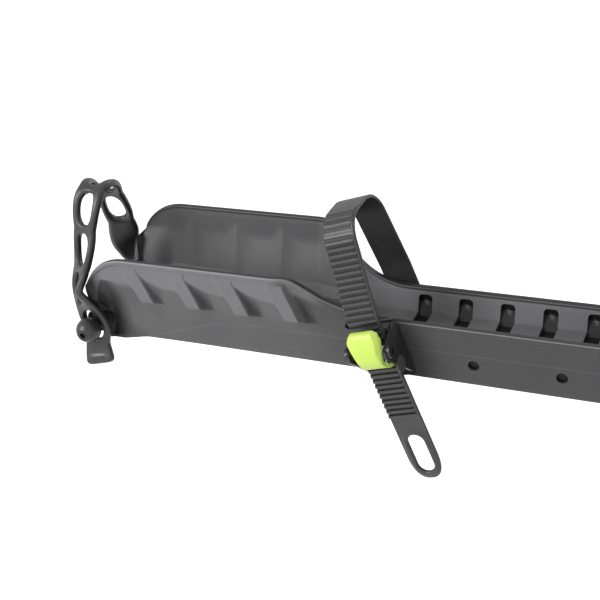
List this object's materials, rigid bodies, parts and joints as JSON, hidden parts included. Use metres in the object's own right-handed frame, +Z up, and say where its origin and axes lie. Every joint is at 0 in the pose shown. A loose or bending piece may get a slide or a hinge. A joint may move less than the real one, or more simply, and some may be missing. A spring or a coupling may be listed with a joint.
{
  "type": "tow bar bike carrier",
  "caption": "Tow bar bike carrier with a long wheel tray, rubber end straps, ladder straps with lever buckles, a tilting spine and a folding mast with a frame clamp.",
  "frame": {"origin": "centre of the cross pin hole in the shank that enters the tow bar", "axes": "+X along the tray, towards its right end; +Y towards the towing vehicle; +Z up"},
  "size_m": [1.2854, 0.432, 0.799],
  "materials": {
    "black_steel": "satin black powder coat",
    "tray_plastic": "fine moulded texture",
    "strap_rubber": "satin moulded rubber",
    "black_nylon": "satin moulded nylon",
    "lime_nylon": "satin moulded nylon",
    "zinc_steel": "zinc plated",
    "satin_black": "black oxide"
  },
  "bodies": {
    "hitch": {"hitch_shank": "black_steel", "shank_cap": "black_nylon", "hinge_plates": "black_steel", "hinge_bolts": "zinc_steel", "hinge_nuts": "zinc_steel"},
    "carrier": {"spine_tube": "black_steel", "spine_caps": "black_nylon", "hinge_bush": "black_nylon", "tilt_bolt": "zinc_steel", "tray_saddle": "black_steel", "tray_joiner": "black_steel", "tray_left": "tray_plastic", "tray_right": "tray_plastic", "tray_bolts": "zinc_steel", "tray_nuts": "zinc_steel", "saddle_screws": "zinc_steel", "saddle_nuts": "zinc_steel", "spine_bolts": "zinc_steel", "spine_nuts": "zinc_steel", "mast_foot_plates": "black_steel", "mast_pivot_bolt": "zinc_steel", "ball_stud_left": "satin_black", "ball_stud_right": "satin_black", "rubber_strap_left": "strap_rubber", "rubber_strap_right": "strap_rubber", "rubber_strap_screws": "zinc_steel", "rubber_strap_washers": "zinc_steel", "ladder_strap_left": "black_nylon", "ladder_strap_right": "black_nylon", "side_spacers": "zinc_steel", "side_screws": "zinc_steel", "side_nuts": "zinc_steel", "buckle_bracket_left": "black_steel", "buckle_bracket_right": "black_steel", "buckle_bed_left": "black_nylon", "buckle_bed_right": "black_nylon", "buckle_pin_left": "satin_black", "buckle_pin_right": "satin_black", "buckle_spring_left": "zinc_steel", "buckle_spring_right": "zinc_steel"},
    "mast": {"mast_tube": "black_steel", "mast_cap": "black_nylon", "mast_bushes": "black_nylon"},
    "tilt_knob": {"tilt_knob": "black_nylon"},
    "mast_knob": {"mast_knob": "black_nylon"},
    "clamp": {"clamp_collar": "black_nylon", "guide_bars": "zinc_steel", "jaw_stud": "zinc_steel", "lower_pad": "strap_rubber"},
    "collar_knob": {"collar_knob": "black_nylon"},
    "upper_jaw": {"upper_jaw": "black_nylon", "upper_pad": "strap_rubber"},
    "jaw_knob": {"jaw_knob": "black_nylon"},
    "lever_left": {"buckle_lever_left": "lime_nylon"},
    "lever_right": {"buckle_lever_right": "lime_nylon"}
  },
  "joints": [
    {"name": "tilt", "type": "hinge", "parent": "hitch", "child": "carrier", "pos_m": [0, -0.13, 0.0663], "axis": [1, 0, 0], "range_deg": [-90, 35]},
    {"name": "tilt_knob_turn", "type": "hinge", "parent": "carrier", "child": "tilt_knob", "pos_m": [0.031, -0.18, 0.0663], "axis": [1, 0, 0], "range_deg": [0, 1080]},
    {"name": "mast_fold", "type": "hinge", "parent": "carrier", "child": "mast", "pos_m": [0, -0.228, 0.168], "axis": [1, 0, 0], "range_deg": [0, 90]},
    {"name": "mast_knob_turn", "type": "hinge", "parent": "carrier", "child": "mast_knob", "pos_m": [0.031, -0.228, 0.168], "axis": [1, 0, 0], "range_deg": [0, 1080]},
    {"name": "clamp_slide", "type": "slide", "parent": "mast", "child": "clamp", "axis": [0, 0, 1], "range_m": [-0.25, 0.06]},
    {"name": "collar_knob_turn", "type": "hinge", "parent": "clamp", "child": "collar_knob", "pos_m": [0, -0.2027, 0.64], "axis": [0, 1, 0], "range_deg": [0, 1080]},
    {"name": "jaw_slide", "type": "slide", "parent": "clamp", "child": "upper_jaw", "axis": [0, 0, 1], "range_m": [0, 0.045]},
    {"name": "jaw_knob_turn", "type": "hinge", "parent": "upper_jaw", "child": "jaw_knob", "pos_m": [0, -0.26915, 0.663], "axis": [0, 0, 1], "range_deg": [0, 3240]},
    {"name": "lever_press_left", "type": "hinge", "parent": "carrier", "child": "lever_left", "pos_m": [-0.3835, -0.35, 0.1294], "axis": [-0.9613, 0, -0.2756], "range_deg": [0, 16], "stiffness_Nm_per_rad": 0.05, "springref_deg": -5.73},
    {"name": "lever_press_right", "type": "hinge", "parent": "carrier", "child": "lever_right", "pos_m": [0.3835, -0.35, 0.1294], "axis": [-0.9613, 0, 0.2756], "range_deg": [0, 16], "stiffness_Nm_per_rad": 0.05, "springref_deg": -5.73}
  ],
  "couplings": [
    {"joint": "jaw_knob_turn", "follows": "jaw_slide", "rad_per_m": 1256.6}
  ]
}
